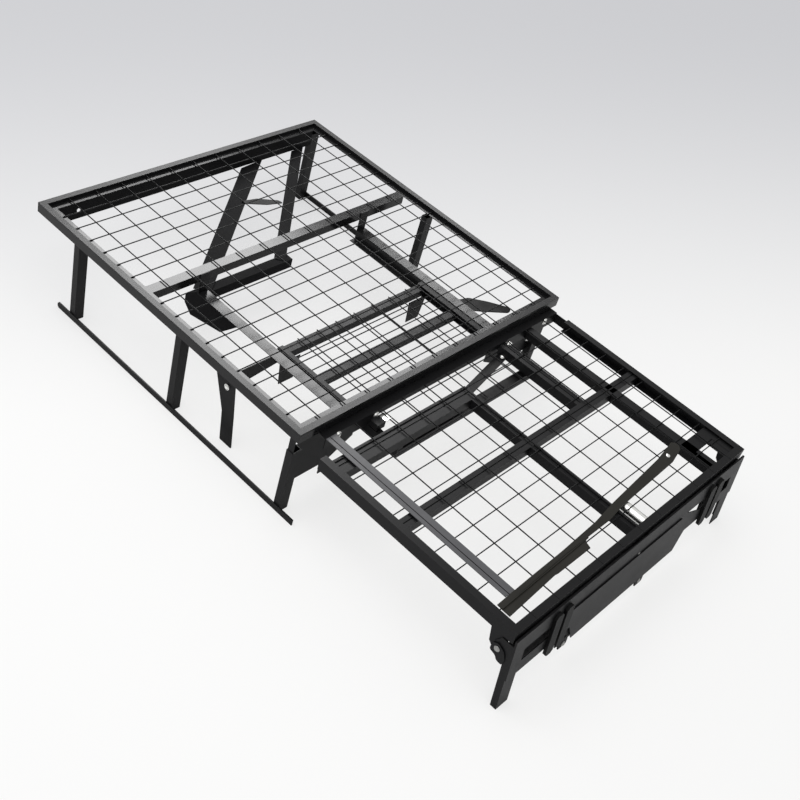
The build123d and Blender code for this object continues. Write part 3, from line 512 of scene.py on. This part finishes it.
# %% Hem, tabs and hooks
HEM = [(-340, 184), (240, 184), (240, 203), (-340, 203)]
HEM_FOLD = 7
TAB = [(-20, 0), (20, 0), (22, 20), (14, 36), (-14, 36), (-22, 20)]
TAB_PLACES = ((86, 26), (-307, 41))
WINDOW_MIDDLE, WINDOW_HALF, WINDOW_LOW, WINDOW_HIGH = 478, 92, 118, 204
WINDOW_BEHIND, CATCH_BEHIND = 12, 6
CATCH = [(-338, 52), (-258, 52), (-258, 120), (-338, 120)]
LOCK = [(1238, -298), (1268, -298), (1268, -276), (1238, -276)]
HOOK = [(1950, 178), (1972, 172), (1978, 160), (1998, 158), (2000, 182), (1990, 204), (1968, 216),
        (1950, 206)]
HOOK_SIDE = 584.3


def leaning(outline, proud, thick=PLATE, corner=0.0):
    """A stamping on the leaning face of the leg frame; the outline is (across, height)."""
    foot = outline[0][1]
    piece = stamping(outline, ACROSS, proud, thick, corner)
    piece.data.transform(Matrix.Translation((REAR_END / 1000, 0, -foot / 1000)))
    piece.data.transform(Matrix.Rotation(-LEAN, 4, "Y"))
    piece.data.transform(Matrix.Translation(on_apron(0, foot)))
    return piece


settle(leaning(HEM, 0, HEM_FOLD, 3), "apron_hem", "front_legs", powder_coat)
tabs = [leaning([(y + across, z + height) for across, height in TAB], -1, corner=5) for y, z in TAB_PLACES]
settle(joined(tabs), "latch_tabs", "front_legs", nylon)
plates = []
for middle in (-WINDOW_MIDDLE, WINDOW_MIDDLE):
    left, right_end = middle - WINDOW_HALF, middle + WINDOW_HALF
    plates.append(leaning([(left, WINDOW_LOW), (right_end, WINDOW_LOW), (right_end, WINDOW_HIGH),
                           (left, WINDOW_HIGH)], -WINDOW_BEHIND))
plates.append(leaning(CATCH, -CATCH_BEHIND, corner=3))
settle(joined(plates), "window_plates", "front_legs", nylon)
settle(stamping(LOCK, PLAN, 262, corner=2), "lock_tab", "pull_out", zinc)
hooks = [stamping(HOOK, ALONG, level, corner=6) for level in (HOOK_SIDE, -HOOK_SIDE - PLATE)]
settle(joined(hooks), "pivot_hooks", "front_legs", powder_coat)
print("hem, tabs and hooks")

# %% [markdown]
# A plain pale floor and soft light. The floor is far larger than the view, and for the camera it
# darkens a little towards the top of the picture, as the photograph's backdrop does. World light is
# white. A weak key lamp lights the front; two broad lamps beyond the far side add only reflections,
# so that the upward faces near the rear and on the guide rails mirror them.

# %% Floor and light
FLOOR_SIZE = 40
FLOOR_COLOR, FLOOR_ROUGHNESS = (0.93, 0.93, 0.93, 1), 0.9
BACKDROP_LOW, BACKDROP_HIGH = (0.955, 0.955, 0.95), (0.55, 0.555, 0.585)
SWEEP_START, SWEEP_END = 0.45, 1.0
BACKDROP_SHARE = 0.72
WORLD_STRENGTH = 0.75

deselect()
bpy.ops.mesh.primitive_plane_add(size=FLOOR_SIZE)
floor = bpy.context.object
floor.name = "floor"
pale = bpy.data.materials.new("pale_floor")
pale.use_nodes = True
tree = pale.node_tree
link = tree.links.new
pale_shader = tree.nodes["Principled BSDF"]
pale_shader.inputs["Base Color"].default_value = FLOOR_COLOR
pale_shader.inputs["Roughness"].default_value = FLOOR_ROUGHNESS
pale_shader.inputs["Specular IOR Level"].default_value = 0.0
place_node = add(tree, "ShaderNodeTexCoord")
axes = add(tree, "ShaderNodeSeparateXYZ")
link(place_node.outputs["Window"], axes.inputs["Vector"])
sweep = add(tree, "ShaderNodeMapRange", From_Min=SWEEP_START, From_Max=SWEEP_END)
sweep.interpolation_type = "SMOOTHSTEP"
link(axes.outputs["Y"], sweep.inputs["Value"])
seen = add(tree, "ShaderNodeEmission")
link(color_mix(tree, sweep.outputs["Result"], BACKDROP_LOW, BACKDROP_HIGH), seen.inputs["Color"])
paths = add(tree, "ShaderNodeLightPath")
share = add(tree, "ShaderNodeMath")
share.operation = "MULTIPLY"
share.inputs[1].default_value = BACKDROP_SHARE
link(paths.outputs["Is Camera Ray"], share.inputs[0])
blend = add(tree, "ShaderNodeMixShader")
link(share.outputs["Value"], blend.inputs["Fac"])
link(pale_shader.outputs["BSDF"], blend.inputs[1])
link(seen.outputs["Emission"], blend.inputs[2])
link(blend.outputs["Shader"], tree.nodes["Material Output"].inputs["Surface"])
floor.data.materials.append(pale)

world = bpy.data.worlds.new("world")
bpy.context.scene.world = world
world.use_nodes = True
background = world.node_tree.nodes["Background"]
background.inputs["Color"].default_value = (1, 1, 1, 1)
background.inputs["Strength"].default_value = WORLD_STRENGTH


def lamp(name, location, target, size, power):
    """A broad soft lamp that looks at a point."""
    data = bpy.data.lights.new(name, "AREA")
    data.shape = "SQUARE"
    data.size = size
    data.energy = power
    piece = bpy.data.objects.new(name, data)
    bpy.context.scene.collection.objects.link(piece)
    piece.location = location
    piece.rotation_euler = (Vector(target) - Vector(location)).to_track_quat("-Z", "Y").to_euler()
    return piece


KEY_PLACE, KEY_SIZE, KEY_POWER = (-0.5, -1.0, 3.5), 3.0, 60
SHEEN_HEIGHT = 2.6
SHEENS = (("sheen", -2.38, 1.7, 2.35, 1.8, 250), ("guide_sheen", -1.9, 3.25, 1.0, 0.45, 34))

lamp("key", KEY_PLACE, (0, 0, 0), KEY_SIZE, KEY_POWER)
for name, x, y, wide, deep, power in SHEENS:
    sheen = lamp(name, (x, y, SHEEN_HEIGHT), (x, y, 0), 1.0, power)
    sheen.data.shape = "RECTANGLE"
    sheen.data.size, sheen.data.size_y = wide, deep
    sheen.visible_diffuse = False
bpy.context.scene.view_settings.view_transform = "Standard"
